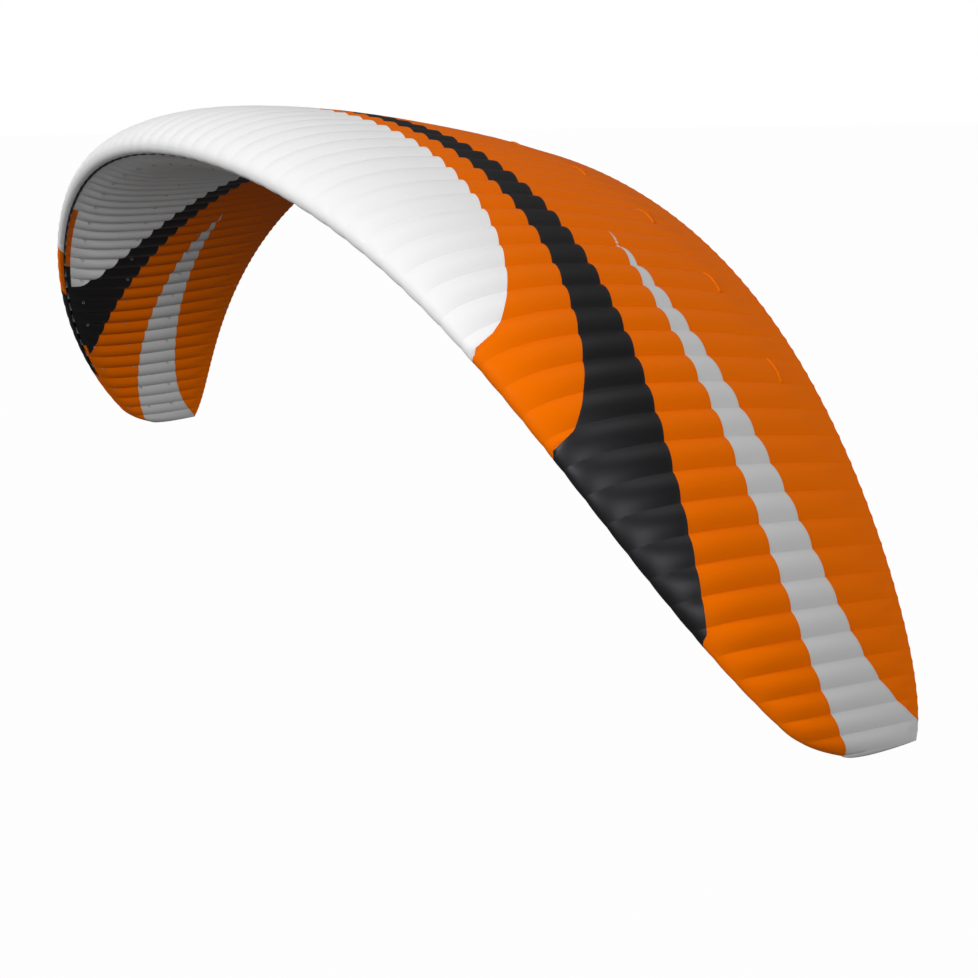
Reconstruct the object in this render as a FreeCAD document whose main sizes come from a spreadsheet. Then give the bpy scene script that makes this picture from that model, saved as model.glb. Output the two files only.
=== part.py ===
import FreeCAD, Part
import math
import os
from functools import lru_cache

from FreeCAD import Matrix, Placement, Rotation, Vector

# Ram-air kite canopy: 72 cells between ribs, sewn colour panels, air intakes under the nose, and a
# trailing edge that the brake lines pull down in three sections on each side.
# Frame: X along the span (right wing +X), -Y towards the leading edge, +Z up.
# The origin is the A-row line loop on the centre rib.

os.makedirs("parts", exist_ok=True)
doc = FreeCAD.newDocument("KiteCanopy")

# ---------------------------------------------------------------- driving dimensions (mm, degrees, shares)
DIMENSIONS = [
    ("half_span", 5500, "arc length from the centre rib to the tip rib"),
    ("root_chord", 2060, "chord of the centre rib"),
    ("plan_reach", 0.972, "share of the span at which the chord ellipse is cut"),
    ("plan_power", 0.478, "power of the chord ellipse"),
    ("tip_cut", 120, "how far the leading edge is rounded off at the tip"),
    ("tip_cut_start", 0.967, "span share at which the rounding starts"),
    ("half_cells", 36, "cells in one half wing"),
    ("cell_spread", 0.18, "how much wider the centre cells are"),
    ("cell_spread_tip", 0.044, "second term of the cell spacing"),
    ("arc_first", 36.5, "arch slope, first power of the span share"),
    ("arc_third", 56.4, "arch slope, third power"),
    ("arc_fifth", -23.8, "arch slope, fifth power"),
    ("sweep_second", 632, "backward sweep of the quarter chord, second power"),
    ("sweep_fourth", -506, "fourth power"),
    ("sweep_sixth", 754, "sixth power"),
    ("washout", -2.1, "nose-down twist of the tip"),
    ("thickness_share", 0.15, "profile thickness over chord"),
    ("camber_share", 0.019, "profile camber over chord"),
    ("camber_place", 0.3, "place of the largest camber"),
    ("dent_share", 0.006, "depth of the shark-nose hollow over chord"),
    ("dent_place", -0.2, "place of the hollow, as the signed root of the chord share"),
    ("dent_width", 0.07, "width of the hollow in the same unit"),
    ("skin_thickness", 3, "stand-in thickness of the cloth skins"),
    ("rib_thickness", 2, "stand-in thickness of the ribs"),
    ("rib_clearance", 1.5, "room between a rib and the skins"),
    ("tip_clearance", 5, "the same at the tip ribs, where the leading edge sweeps back steeply"),
    ("seam_gap", 2, "gap between two panels at a seam"),
    ("lip_share", 0.012, "chord share at which the upper skin ends under the nose"),
    ("mouth_share", 0.035, "chord share at which the air intakes end"),
    ("crease_share", 0.07, "chord share at which the lower skin begins"),
    ("hinge_share", 0.8, "chord share at which the trailing edge bends"),
    ("flap_lower_share", 0.846, "chord share at which a flap's lower skin begins"),
    ("hem_length", 20, "length of the folded trailing edge"),
    ("brake_angle", 30, "largest brake deflection"),
    ("side_taper", 0.18, "side clearance of a flap per distance from its hinge"),
    ("side_gap", 4, "side clearance of a flap at its hinge"),
    ("loop_radius", 9, "line loop, centre to cord middle"),
    ("loop_cord", 1.5, "line loop, cord radius"),
    ("brake_loop_radius", 7, "brake line loop, centre to cord middle"),
    ("rod_width", 2.4, "nose rod width"),
    ("rod_depth", 8, "depth of the nose rods below the skin"),
    ("strap_width", 25, "width of the tension straps"),
    ("strap_height", 7, "height of the straps above the lower surface"),
]
sheet = doc.addObject("Spreadsheet::Sheet", "Sizes")
for row, (alias, value, note) in enumerate(DIMENSIONS, start=1):
    sheet.set(f"A{row}", note)
    sheet.set(f"B{row}", str(value))
    sheet.setAlias(f"B{row}", alias)
doc.recompute()


def size(alias):
    return float(sheet.get(alias))


HALF_SPAN = size("half_span")
HALF_CELLS = int(size("half_cells"))
SKIN = size("skin_thickness")
SEAM = size("seam_gap") / 2
LIP = -math.sqrt(size("lip_share"))
MOUTH = -math.sqrt(size("mouth_share"))
CREASE = size("crease_share")
HINGE = size("hinge_share")
FLAP_RIBS = (3, 12, 20, 27)
CLOSED_NOSE_RIB = 31
ROW_SHARES = {"a": 0.1, "b": 0.33, "c": 0.6}


# ---------------------------------------------------------------- shape of the wing
def span_share(rib):
    """Share of the half span at a rib number, which may lie between two ribs."""
    t = rib / HALF_CELLS
    rest = 1 - t * t
    return t * (1 + size("cell_spread") * rest + size("cell_spread_tip") * rest * t * t)


def slope(s):
    """Angle of the arch below the horizontal, in radians."""
    return math.radians(size("arc_first") * s + size("arc_third") * s**3 + size("arc_fifth") * s**5)


def tip_cut(s):
    start = size("tip_cut_start")
    return size("tip_cut") * max(0.0, (abs(s) - start) / (1 - start)) ** 3


def full_chord(s):
    return size("root_chord") * (1 - (size("plan_reach") * s) ** 2) ** size("plan_power")


def chord(s):
    return full_chord(s) - tip_cut(s)


@lru_cache(maxsize=None)
def arch(s):
    """Place of the quarter-chord line, by Simpson's rule along the arch."""
    steps = 40
    width = s / steps
    x = z = 0.0
    for i in range(steps + 1):
        weight = 1 if i in (0, steps) else 4 if i % 2 else 2
        x += weight * math.cos(slope(i * width)) * width / 3
        z -= weight * math.sin(slope(i * width)) * width / 3
    y = size("sweep_second") * s**2 + size("sweep_fourth") * s**4 + size("sweep_sixth") * s**6
    y += 0.75 * tip_cut(s)
    return x * HALF_SPAN, y, z * HALF_SPAN


def profile(w):
    """Profile point over chord at w, the signed root of the chord share: + upper side, - lower side."""
    x = w * w
    t = size("thickness_share")
    half = 5 * t * (0.2969 * abs(w) - 0.126 * x - 0.3516 * x**2 + 0.2843 * x**3 - 0.1036 * x**4)
    m = size("camber_share")
    p = size("camber_place")
    if x < p:
        camber = m / p**2 * (2 * p * x - x * x)
    else:
        camber = m / (1 - p) ** 2 * (1 - 2 * p + 2 * p * x - x * x)
    dent = size("dent_share") * math.exp(-(((w - size("dent_place")) / size("dent_width")) ** 2))
    return x, camber + math.copysign(half, w) + dent


@lru_cache(maxsize=None)
def profile_normal(w):
    """Outward unit normal of the profile in its own plane."""
    step = 1e-3
    x0, z0 = profile(w - step)
    x1, z1 = profile(w + step)
    length = math.hypot(x1 - x0, z1 - z0)
    return -(z1 - z0) / length, (x1 - x0) / length


def section_point(s, along, across):
    """Point of the rib plane at s: along the chord from its quarter point, across it outwards, in mm."""
    x, y, z = arch(abs(s))
    side = math.copysign(1, s)
    lean = slope(abs(s))
    twist = math.radians(size("washout") * s * s)
    back = along * math.cos(twist) + across * math.sin(twist)
    out = -along * math.sin(twist) + across * math.cos(twist)
    return Vector(side * (x + out * math.sin(lean)), y + back, z + out * math.cos(lean))


def wing_point(s, w, depth=0.0):
    """Point of the wing's surface, moved inwards by depth."""
    c = chord(s)
    x, z = profile(w)
    nx, nz = profile_normal(w)
    return section_point(s, c * (x - 0.25) - depth * nx, c * z - depth * nz)


LOOP_DROP = size("loop_radius") + size("loop_cord") + 0.3
ORIGIN = wing_point(0.0, -math.sqrt(ROW_SHARES["a"]), -LOOP_DROP)


def point(s, w, depth=0.0):
    return wing_point(s, w, depth) - ORIGIN


def span_direction(s):
    lean = slope(s)
    return Vector(math.cos(lean), 0, -math.sin(lean))


# ---------------------------------------------------------------- colour boundaries, as chord shares
def falling(start, end, bend, power):
    """A boundary that starts at a chord share on the centre rib and reaches the nose at a span share."""
    return lambda s: start * max(0.0, 1 - (s / end) ** bend) ** power


def rounded(share, least):
    """A boundary as a share of the chord that is left behind the rounded tip."""
    return lambda s: max(least, (share(s) * full_chord(s) - tip_cut(s)) / chord(s))


UPPER_WHITE = falling(0.43, 0.61, 2.8, 0.5)
UPPER_ORANGE = falling(0.49, 0.725, 2.7, 0.5)
UPPER_BLACK = falling(0.575, 0.9, 3, 0.8)
UPPER_MIDDLE = rounded(falling(0.655, 1.055, 2.8, 0.5), 0.012)
LOWER_WHITE = falling(0.56, 0.71, 2.6, 0.55)
LOWER_BLACK = falling(0.64, 0.87, 2.6, 0.75)
LOWER_MIDDLE = rounded(falling(0.69, 1.03, 2.9, 0.6), 0.1)


def upper_grey(s):
    return min(1.0, 0.63 + 0.015 * s + 0.355 * (s / 0.985) ** 38)


def lower_grey(s):
    return min(1.0, 0.662 + 0.338 * s**38)


def edge(share, side):
    """Turns a chord share, or a boundary function, into a function of s that gives w."""
    if callable(share):
        return lambda s: side * math.sqrt(share(s))
    return lambda s: side * math.sqrt(share)


def lower_end(s):
    """The lower skins end where the trailing edge's hem begins."""
    return 1 - size("hem_length") / chord(s)


# ---------------------------------------------------------------- solids
FORWARD = 1


def even_curve(points):
    """A curve through points, with its parameter evenly spaced, so that curves side by side match."""
    curve = Part.BSplineCurve()
    last = len(points) - 1
    curve.interpolate(Points=points, Parameters=[i / last for i in range(last + 1)])
    return curve


def skin_surface(rows):
    """The surface through a grid of points: a curve along each row, then one across each set of poles."""
    along = [even_curve(row) for row in rows]
    poles = [curve.getPoles() for curve in along]
    across = [even_curve([row[j] for row in poles]) for j in range(len(poles[0]))]
    columns = [curve.getPoles() for curve in across]
    grid = [[column[i] for column in columns] for i in range(len(columns[0]))]
    u, v = across[0], along[0]
    surface = Part.BSplineSurface()
    surface.buildFromPolesMultsKnots(
        grid,
        u.getMultiplicities(),
        v.getMultiplicities(),
        u.getKnots(),
        v.getKnots(),
        False,
        False,
        u.Degree,
        v.Degree,
    )
    return surface


def border(surface):
    """The four edge curves of a surface, in one fixed order and direction."""
    u_first, u_last, v_first, v_last = surface.bounds()
    curves = [surface.uIso(u_first), surface.uIso(u_last), surface.vIso(v_first), surface.vIso(v_last)]
    return [curve.toShape() for curve in curves]


def closed_solid(outer_rows, inner_rows):
    """A sheet's solid: its outer and inner surface, and the ruled faces round its edge."""
    outer = skin_surface(outer_rows)
    inner = skin_surface(inner_rows)
    sides = [Part.makeRuledSurface(a, b, FORWARD) for a, b in zip(border(outer), border(inner))]
    shell = Part.makeShell([outer.toShape(), inner.toShape()] + sides)
    shell.sewShape()
    solid = Part.Solid(shell)
    if solid.Volume < 0:
        solid.reverse()
    return solid


def inset(w, s, distance, towards):
    """w moved along the surface by a distance in mm, towards + (back over the top) or -."""
    step = 1e-3
    x0, z0 = profile(w - step)
    x1, z1 = profile(w + step)
    speed = math.hypot(x1 - x0, z1 - z0) / (2 * step) * chord(s)
    return w + towards * distance / speed


def panel(first_rib, last_rib, front, rear, wing_side=1, columns=9, narrow=None):
    """One sewn panel from one rib to another, between two edge functions, on the wing's + or - side."""
    rows_per_rib = 2 if last_rib == HALF_CELLS else 1
    count = max(4, int(math.ceil((last_rib - first_rib) * rows_per_rib)) + 1)
    outer_rows = []
    inner_rows = []
    for i in range(count):
        rib = first_rib + (last_rib - first_rib) * i / (count - 1)
        s = span_share(rib)
        width = HALF_SPAN * (span_share(rib + 0.5) - span_share(rib - 0.5))
        gap = SEAM / width * (1 if i == 0 else -1 if i == count - 1 else 0)
        w_front = front(abs(s))
        w_rear = rear(abs(s))
        direction = 1 if w_rear > w_front else -1
        w_front = inset(w_front, abs(s), SEAM, direction)
        w_rear = inset(w_rear, abs(s), SEAM, -direction)
        outer_row = []
        inner_row = []
        for j in range(columns):
            w = w_front + (w_rear - w_front) * j / (columns - 1)
            shift = gap
            if narrow:
                shift += narrow(i / (count - 1), w, s) / width
            at = wing_side * span_share(rib + shift)
            outer_row.append(point(at, w))
            inner_row.append(point(at, w, SKIN))
        outer_rows.append(outer_row)
        inner_rows.append(inner_row)
    return closed_solid(outer_rows, inner_rows)


def flap_narrowing(share, w, s):
    """Side clearance of a flap: its two ends lean inwards, more so further from the hinge."""
    reach = max(0.0, (w * w - HINGE) * chord(s))
    room = size("side_gap") + size("side_taper") * reach
    return room * (1 - 2 * share)


def rib_solid(rib, first_share, last_share, holes=(), slant=0.0, clearance="rib_clearance"):
    """A rib's profile between two chord shares, inside the skins, with round crossports."""
    s = span_share(rib)
    depth = SKIN + size(clearance)
    steps = 22
    start = math.sqrt(first_share) if first_share > 0 else 0.0
    stop = math.sqrt(last_share)
    lower_start = math.sqrt(first_share + slant) if first_share > 0 else 0.0
    upper = [point(s, start + (stop - start) * i / steps, depth) for i in range(steps + 1)]
    lower = [point(s, -(stop + (lower_start - stop) * i / steps), depth) for i in range(steps + 1)]
    if first_share > 0:
        upper_curve = Part.BSplineCurve()
        lower_curve = Part.BSplineCurve()
        upper_curve.interpolate(upper)
        lower_curve.interpolate(lower)
        edges = [
            upper_curve.toShape(),
            Part.makeLine(upper[-1], lower[0]),
            lower_curve.toShape(),
            Part.makeLine(lower[-1], upper[0]),
        ]
    else:
        outline = Part.BSplineCurve()
        outline.interpolate(lower + upper[1:])
        cuts = [outline.parameter(p) for p in (lower[steps // 2], upper[0], upper[steps // 2])]
        cuts = [outline.FirstParameter] + cuts + [outline.LastParameter]
        edges = [outline.toShape(start, stop) for start, stop in zip(cuts, cuts[1:])]
        edges.append(Part.makeLine(upper[-1], lower[0]))
    normal = span_direction(abs(s))
    normal.x = math.copysign(1, s) * normal.x if s else normal.x
    wires = [Part.Wire(edges)]
    for share, hole_share in holes:
        top = point(s, math.sqrt(share), depth)
        bottom = point(s, -math.sqrt(share), depth)
        radius = hole_share * (top - bottom).Length / 2
        circle = Part.Circle((top + bottom) / 2, normal, radius)
        wires.append(Part.Wire(circle.toShape()))
    face = Part.makeFace(wires, "Part::FaceMakerBullseye")
    half = normal * (size("rib_thickness") / 2)
    face.translate(-half)
    return face.extrude(half * 2)


def beam(first, second, across, thick):
    """A flat strip between two places, each a point and the direction of its width, with half sizes."""
    wires = []
    for place, along, half_width in (first, second):
        a = along * half_width
        b = across * (thick / 2)
        corners = [place + a + b, place + a - b, place - a - b, place - a + b]
        wires.append(Part.makePolygon(corners + corners[:1]))
    return Part.makeLoft(wires, True, True)


def rod_solid(rib):
    """A thin plastic rod of square section that follows a rib's nose, beside the rib."""
    s = span_share(rib)
    half = size("rod_width") / 2
    beside = (size("rib_thickness") / 2 + 2 * half) / HALF_SPAN
    at = s - math.copysign(beside, rib if rib else 1)
    across = span_direction(abs(at))
    across.x = math.copysign(across.x, at)
    marks = [-0.26, -0.2, -0.14, -0.08, -0.04, 0.0, 0.04, 0.08, 0.12, 0.18, 0.26, 0.38, 0.5]
    outer = [point(at, w, size("rod_depth") - half) for w in marks]
    inner = [point(at, w, size("rod_depth") + half) for w in reversed(marks)]
    face = Part.Face(Part.makePolygon(outer + inner + outer[:1]))
    face.translate(-across * half)
    return face.extrude(across * (2 * half))


# ---------------------------------------------------------------- named sub-parts
nodes = []


def add_node(name, solids):
    """A named sub-part made of free-form cloth solids."""
    feature = doc.addObject("Part::Feature", name)
    feature.Label = name
    feature.Shape = solids[0] if len(solids) == 1 else Part.makeCompound(solids)
    nodes.append(feature)
    return feature


def both_sides(name, patches, **options):
    for side_name, side in (("right", 1), ("left", -1)):
        solids = [panel(*patch, wing_side=side, **options) for patch in patches]
        add_node(f"{name}_{side_name}", solids)


def both_halves(name, patch, **options):
    """One node for a centre panel, whose two halves meet at the centre rib."""
    add_node(name, [panel(*patch, wing_side=side, **options) for side in (1, -1)])


def constant(w):
    return lambda s: w


lip = constant(LIP)
mouth = constant(MOUTH)
tip_mouth = constant(LIP * 1.04)
crease = edge(CREASE, -1)
upper_hinge = edge(HINGE, 1)
lower_hinge = edge(HINGE, -1)
upper_end = constant(1.0)
lower_hem = edge(lower_end, -1)
TIP = HALF_CELLS

# upper skin
both_halves("upper_panel_white", (0, 19, lip, edge(UPPER_WHITE, 1)))
both_sides(
    "upper_panel_orange_front",
    [(0, 19, edge(UPPER_WHITE, 1), edge(UPPER_ORANGE, 1)), (19, 23, lip, edge(UPPER_ORANGE, 1))],
)
both_sides(
    "upper_stripe_black",
    [(0, 23, edge(UPPER_ORANGE, 1), edge(UPPER_BLACK, 1)), (23, 30, lip, edge(UPPER_BLACK, 1))],
)
both_sides(
    "upper_panel_orange_middle",
    [
        (0, 3, edge(UPPER_BLACK, 1), upper_end),
        (3, 16, edge(UPPER_BLACK, 1), upper_hinge),
        (16, 30, edge(UPPER_BLACK, 1), edge(UPPER_MIDDLE, 1)),
        (30, TIP, lip, edge(UPPER_MIDDLE, 1)),
    ],
)
both_sides(
    "upper_stripe_grey",
    [
        (16, 34, edge(UPPER_MIDDLE, 1), edge(upper_grey, 1)),
        (34, TIP, edge(UPPER_MIDDLE, 1), upper_end),
    ],
)
both_sides(
    "upper_panel_orange_rear",
    [(16, 27, edge(upper_grey, 1), upper_hinge), (27, 34, edge(upper_grey, 1), upper_end)],
)

# lower skin
both_halves("lower_panel_white", (0, 22, crease, edge(LOWER_WHITE, -1)))
both_sides(
    "lower_stripe_black",
    [(0, 22, edge(LOWER_WHITE, -1), edge(LOWER_BLACK, -1)), (22, 28, crease, edge(LOWER_BLACK, -1))],
)
both_sides(
    "lower_panel_orange_middle",
    [
        (0, 3, edge(LOWER_BLACK, -1), lower_hem),
        (3, 17, edge(LOWER_BLACK, -1), lower_hinge),
        (17, 28, edge(LOWER_BLACK, -1), edge(LOWER_MIDDLE, -1)),
        (28, TIP, crease, edge(LOWER_MIDDLE, -1)),
    ],
)


def lower_grey_end(s):
    return min(lower_grey(s), lower_end(s))


both_sides("lower_stripe_grey", [(17, TIP, edge(LOWER_MIDDLE, -1), edge(lower_grey_end, -1))])
both_sides(
    "lower_panel_orange_rear",
    [(17, 27, edge(lower_grey, -1), lower_hinge), (27, 35, edge(lower_grey, -1), lower_hem)],
)

# cloth strip between the air intakes and the lower skin; it closes the intakes of the outer cells
both_halves("nose_strip_white", (0, 15, mouth, crease), columns=7)
both_sides("nose_strip_orange", [(15, 21, mouth, crease)], columns=7)
both_sides("nose_strip_black", [(21, 28, mouth, crease)], columns=7)
both_sides(
    "nose_strip_tip",
    [(28, CLOSED_NOSE_RIB, mouth, crease), (CLOSED_NOSE_RIB, TIP, tip_mouth, crease)],
    columns=7,
)

# ribs: every second one carries lines
FULL_HOLES = [(0.07, 0.45), (0.18, 0.5), (0.27, 0.5), (0.42, 0.5), (0.52, 0.5), (0.68, 0.5)]
LOADED_HOLES = [(0.2, 0.5), (0.43, 0.5), (0.52, 0.45), (0.7, 0.45)]
REAR_GAP = 0.003


def main_rib(rib, holes):
    s = abs(span_share(rib))
    flapped = FLAP_RIBS[0] < abs(rib) < FLAP_RIBS[-1]
    last = HINGE - REAR_GAP if flapped else 1 - 2 * size("hem_length") / chord(s)
    return rib_solid(rib, 0, last, holes)


loaded = [main_rib(k, LOADED_HOLES) for k in range(-TIP + 2, TIP, 2)]
unloaded = [main_rib(k, FULL_HOLES) for k in range(-TIP + 1, TIP, 2)]
add_node("loaded_ribs", loaded)
add_node("unloaded_ribs", unloaded)
TIP_RIB, TIP_NOSE, TIP_TAIL = TIP - 0.04, 0.04, 0.75
add_node("tip_ribs", [rib_solid(k, TIP_NOSE, TIP_TAIL, clearance="tip_clearance") for k in (-TIP_RIB, TIP_RIB)])

# diagonal ribs from a line loop's foot to the top of the next rib, and straps from rib to rib
DIAGONAL_FOOT = {"a": 0.02, "b": 0.03, "c": 0.03}
DIAGONAL_HEAD = {"a": 0.04, "b": 0.07, "c": 0.06}
STRAP_SHARES = (0.22, 0.5)
CELL_ROOM = 0.06
DIAGONAL_DEPTH = 9


def strip_end(s, side, share, reach, depth):
    """One end of a strip that lies along the chord under the skin: its middle, direction and half width."""
    front = point(s, side * math.sqrt(share - reach), depth)
    rear = point(s, side * math.sqrt(share + reach), depth)
    run = rear - front
    return (front + rear) / 2, run / run.Length, run.Length / 2


diagonals = []
straps = []
for cell in range(-TIP + 2, TIP - 2):
    inner_loaded = cell % 2 == 0
    s_low = span_share(cell + CELL_ROOM if inner_loaded else cell + 1 - CELL_ROOM)
    s_high = span_share(cell + 1 - CELL_ROOM if inner_loaded else cell + CELL_ROOM)
    lean = slope(abs(s_low))
    outward = Vector(math.copysign(math.sin(lean), s_low), 0, math.cos(lean))
    for row, share in ROW_SHARES.items():
        foot = strip_end(s_low, -1, share, DIAGONAL_FOOT[row], DIAGONAL_DEPTH)
        head = strip_end(s_high, 1, share, DIAGONAL_HEAD[row], DIAGONAL_DEPTH)
        diagonals.append(beam(foot, head, outward, size("rib_thickness")))
    for share in STRAP_SHARES:
        reach = size("strap_width") / chord(abs(s_low)) / 2
        ends = [strip_end(s, -1, share, reach, size("strap_height")) for s in (s_low, s_high)]
        straps.append(beam(ends[0], ends[1], outward, 1.5))
add_node("diagonal_ribs", diagonals)
add_node("tension_straps", straps)
add_node("nose_rods", [rod_solid(k) for k in range(-TIP + 3, TIP - 2)])


# line loops, sewn under the loaded ribs
def loop_feature(name, s, w, radius_alias, drop):
    """A torus that stands in a rib's plane under the surface, with its sizes bound to the sheet."""
    torus = doc.addObject("Part::Torus", name)
    torus.setExpression("Radius1", f"Sizes.{radius_alias}")
    torus.setExpression("Radius2", "Sizes.loop_cord")
    rib_normal = span_direction(abs(s))
    rib_normal.x = math.copysign(1, s) * rib_normal.x if s else rib_normal.x
    turn = Rotation(Vector(0, 0, 1), rib_normal)
    torus.Placement = Placement(point(s, w, -drop), turn)
    return torus


def loop_group(name, features):
    group = doc.addObject("Part::Compound", name)
    group.Label = name
    group.Links = features
    nodes.append(group)


for row, share in ROW_SHARES.items():
    loops = []
    for k in range(-TIP + 2, TIP, 2):
        mark = f"loop_{row}_{'left' if k < 0 else 'right'}_{abs(k)}"
        loops.append(loop_feature(mark, span_share(k), -math.sqrt(share), "loop_radius", LOOP_DROP))
    loop_group(f"line_loops_{row}_row", loops)

# trailing-edge flaps
BRAKE_LOOP_DROP = size("brake_loop_radius") + size("loop_cord") + 0.3
MINI_SLANT = size("flap_lower_share") - HINGE
for side_name, side in (("right", 1), ("left", -1)):
    for number in range(3):
        first = FLAP_RIBS[number]
        last = FLAP_RIBS[number + 1]
        label = f"{side_name}_{number + 1}"
        lower_start = edge(size("flap_lower_share"), -1)
        upper = panel(first, last, upper_hinge, upper_end, side, 5, flap_narrowing)
        lower = panel(first, last, lower_start, lower_hem, side, 5, flap_narrowing)
        add_node(f"flap_upper_skin_{label}", [upper])
        add_node(f"flap_lower_skin_{label}", [lower])
        halves = range(2 * first + 2, 2 * last - 1)
        minis = []
        for half in halves:
            s = abs(span_share(half / 2))
            end = 1 - 2 * size("hem_length") / chord(s)
            minis.append(rib_solid(side * half / 2, HINGE + REAR_GAP, end, (), MINI_SLANT))
        add_node(f"mini_ribs_{label}", minis)
        loops = []
        for k in range(first + 1, last):
            if k % 2 == 0:
                s = side * span_share(k)
                w = -math.sqrt(lower_end(abs(s)) - 0.01)
                mark = f"brake_loop_{label}_{k}"
                loops.append(loop_feature(mark, s, w, "brake_loop_radius", BRAKE_LOOP_DROP))
        loop_group(f"brake_loops_{label}", loops)

# ---------------------------------------------------------------- check, report and export
doc.recompute()
for item in doc.Objects:
    if "Invalid" in item.State or "Error" in item.State:
        raise RuntimeError(f"{item.Name} failed: {item.State}")
for node in nodes:
    if node.Shape.isNull() or not node.Shape.isValid():
        raise RuntimeError(f"{node.Label} has no valid shape")
    if any(solid.Volume <= 0 for solid in node.Shape.Solids) or not node.Shape.Solids:
        raise RuntimeError(f"{node.Label} holds an empty or inverted solid")
for number in range(3):
    ends = [span_share(k) for k in (FLAP_RIBS[number], FLAP_RIBS[number + 1])]
    inner, outer = (point(s, math.sqrt(HINGE), SKIN / 2) for s in ends)
    axis = (inner - outer).normalize()
    print(f"flap {number + 1} hinge through", inner, "along", axis)
for row, share in ROW_SHARES.items():
    print("row", row, "centre loop at", point(0.0, -math.sqrt(share), -LOOP_DROP))
for node in nodes:
    node.Shape.exportStep(f"parts/{node.Label}.step")
print(len(nodes), "nodes written")
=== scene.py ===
import math

import bmesh
import bpy
import numpy as np
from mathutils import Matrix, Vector


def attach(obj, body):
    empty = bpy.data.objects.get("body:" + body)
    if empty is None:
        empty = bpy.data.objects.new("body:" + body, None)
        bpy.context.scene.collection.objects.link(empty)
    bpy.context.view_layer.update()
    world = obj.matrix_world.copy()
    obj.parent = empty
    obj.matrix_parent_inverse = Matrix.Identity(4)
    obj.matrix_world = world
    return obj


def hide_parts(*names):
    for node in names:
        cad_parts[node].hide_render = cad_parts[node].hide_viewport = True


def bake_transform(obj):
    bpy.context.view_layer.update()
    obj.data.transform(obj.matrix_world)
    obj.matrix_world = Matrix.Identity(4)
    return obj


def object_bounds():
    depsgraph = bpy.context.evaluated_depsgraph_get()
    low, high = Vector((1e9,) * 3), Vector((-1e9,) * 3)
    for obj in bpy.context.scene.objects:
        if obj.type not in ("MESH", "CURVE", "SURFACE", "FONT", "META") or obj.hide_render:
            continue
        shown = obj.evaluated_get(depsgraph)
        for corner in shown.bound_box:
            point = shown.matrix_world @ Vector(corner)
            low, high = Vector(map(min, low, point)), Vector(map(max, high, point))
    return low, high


# Ram-air kite canopy. Every cloth panel is a thin sheet on one formula of the inflated wing: the arch and
# outline of the CAD model, with each cell bulged between its ribs. Neighbouring panels meet on one boundary
# curve. Frame: X along the span, -Y towards the leading edge, +Z up, in metres. Along the span, k counts the
# ribs from the middle and s is the share of the half span. Along the chord, w is the signed root of the share
# of the chord: above 0 on the upper side, below 0 on the lower side.

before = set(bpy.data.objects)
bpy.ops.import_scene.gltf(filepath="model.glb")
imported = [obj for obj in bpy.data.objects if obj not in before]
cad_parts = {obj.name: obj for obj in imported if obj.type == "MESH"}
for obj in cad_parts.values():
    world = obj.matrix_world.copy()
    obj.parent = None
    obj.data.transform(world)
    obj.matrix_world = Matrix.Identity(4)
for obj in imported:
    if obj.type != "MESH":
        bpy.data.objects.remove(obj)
cad_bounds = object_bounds()

# ---------------------------------------------------------------- shape of the wing, as in the CAD model
HALF_SPAN = 5.5
ROOT_CHORD = 2.06
PLAN_REACH, PLAN_POWER = 0.972, 0.478
TIP_CUT, TIP_CUT_START = 0.12, 0.967
HALF_CELLS = 36
CELL_SPREAD, CELL_SPREAD_TIP = 0.18, 0.044
ARC = (36.5, 56.4, -23.8)
SWEEP = (0.632, -0.506, 0.754)
WASHOUT = math.radians(-2.1)
THICKNESS, CAMBER, CAMBER_PLACE = 0.15, 0.019, 0.3
DENT, DENT_PLACE, DENT_WIDTH = 0.006, -0.2, 0.07
HINGE = 0.8
FLAP_RIBS = (3, 12, 20, 27)
CLOSED_NOSE_RIB = 31
LOOP_DROP = 0.0108
# front and rear edge of the air intakes, and the seam between the nose strip and the lower skin
LIP, MOUTH, CREASE = -math.sqrt(0.02), -math.sqrt(0.03), -math.sqrt(0.05)

# ---------------------------------------------------------------- how the cells are inflated and sewn
UPPER_BULGE, LOWER_BULGE, NOSE_BULGE = 0.145, 0.17, 0.02
CLOTH = 0.0008
SCALLOP_DEPTH = 0.0035
COLUMNS = 8
ROWS_FULL_CHORD, LEAST_ROWS, LEAST_FOLD_ROWS = 44, 3, 8
FOLD_CELLS, FOLD_PLACE, FOLD_HALF_WIDTH, FOLD_HEIGHT = (5, 9, 13, 17, 21), 0.866, 0.006, 0.004
FOLD_LIFT = 0.15


def smooth(x, low, high):
    t = np.clip((np.asarray(x, float) - low) / (high - low), 0, 1)
    return t * t * (3 - 2 * t)


def span_share(k):
    t = np.asarray(k, float) / HALF_CELLS
    rest = 1 - t * t
    return t * (1 + CELL_SPREAD * rest + CELL_SPREAD_TIP * rest * t * t)


def slope(s):
    return np.radians(ARC[0] * s + ARC[1] * s**3 + ARC[2] * s**5)


def tip_cut(s):
    return TIP_CUT * np.maximum(0.0, (s - TIP_CUT_START) / (1 - TIP_CUT_START)) ** 3


def full_chord(s):
    return ROOT_CHORD * (1 - (PLAN_REACH * s) ** 2) ** PLAN_POWER


def chord(s):
    return full_chord(s) - tip_cut(s)


ARCH_S = np.linspace(0, 1, 4001)
_mid = slope((ARCH_S[1:] + ARCH_S[:-1]) / 2)
ARCH_X = HALF_SPAN * np.concatenate([[0], np.cumsum(np.cos(_mid) * np.diff(ARCH_S))])
ARCH_Z = -HALF_SPAN * np.concatenate([[0], np.cumsum(np.sin(_mid) * np.diff(ARCH_S))])


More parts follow.
